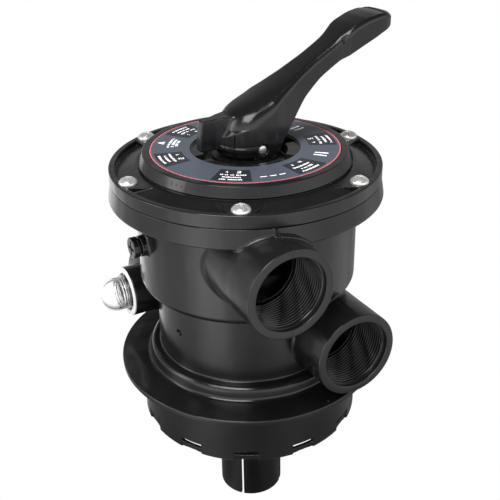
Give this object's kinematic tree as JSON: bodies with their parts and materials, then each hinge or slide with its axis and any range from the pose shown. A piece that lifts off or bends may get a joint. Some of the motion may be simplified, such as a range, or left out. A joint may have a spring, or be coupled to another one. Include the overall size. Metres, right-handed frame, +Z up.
{
  "type": "multiport valve",
  "caption": "Top-mount multiport valve with press-and-turn lever, label ring, threaded ports, sight glass and notched tank neck.",
  "frame": {"origin": "on the valve's axis, in the plane of the clamp skirt's underside", "axes": "+Z up along the axis, -Y the way ports A and B face, +X the way the lever points"},
  "size_m": [0.2136, 0.21, 0.3791],
  "materials": {
    "body_plastic": "semi-gloss black moulding",
    "lever_plastic": "glossy black moulding",
    "rotor_plastic": "matt black moulding",
    "label_print": "printed slate blue ring",
    "white_plastic": "natural white",
    "clear_plastic": "clear moulding",
    "seal_rubber": "matt",
    "stainless": "bright stainless",
    "brass_insert": "machined"
  },
  "bodies": {
    "housing": {"valve_body": "body_plastic", "flange_inserts": "brass_insert", "spider_gasket": "seal_rubber", "cover": "body_plastic", "cover_oring": "seal_rubber", "cover_screws": "stainless", "label_plate": "label_print", "sight_glass": "clear_plastic", "sight_glass_gasket": "white_plastic", "gauge_plug": "body_plastic", "gauge_plug_oring": "seal_rubber", "centre_tube": "body_plastic", "tube_oring": "seal_rubber", "neck_oring": "seal_rubber"},
    "turning_stack": {"spring": "stainless", "spring_washer": "stainless", "thrust_washer": "white_plastic", "steel_washer": "stainless"},
    "diverter": {"rotor": "rotor_plastic", "stem_orings": "seal_rubber", "handle_pin": "stainless"},
    "lever": {"handle": "lever_plastic"}
  },
  "joints": [
    {"name": "selector_turn", "type": "hinge", "parent": "housing", "child": "turning_stack", "pos_m": [0, 0, 0.16], "axis": [0, 0, 1], "continuous": true},
    {"name": "rotor_lift", "type": "slide", "parent": "turning_stack", "child": "diverter", "axis": [0, 0, 1], "range_m": [0, 0.00405], "deforming": ["spring"]},
    {"name": "lever_press", "type": "hinge", "parent": "diverter", "child": "lever", "pos_m": [0.003, 0, 0.169], "axis": [0, 1, 0], "range_deg": [0, 25]}
  ],
  "couplings": [
    {"joint": "rotor_lift", "follows": "lever_press", "m_per_rad": 0.009167}
  ]
}
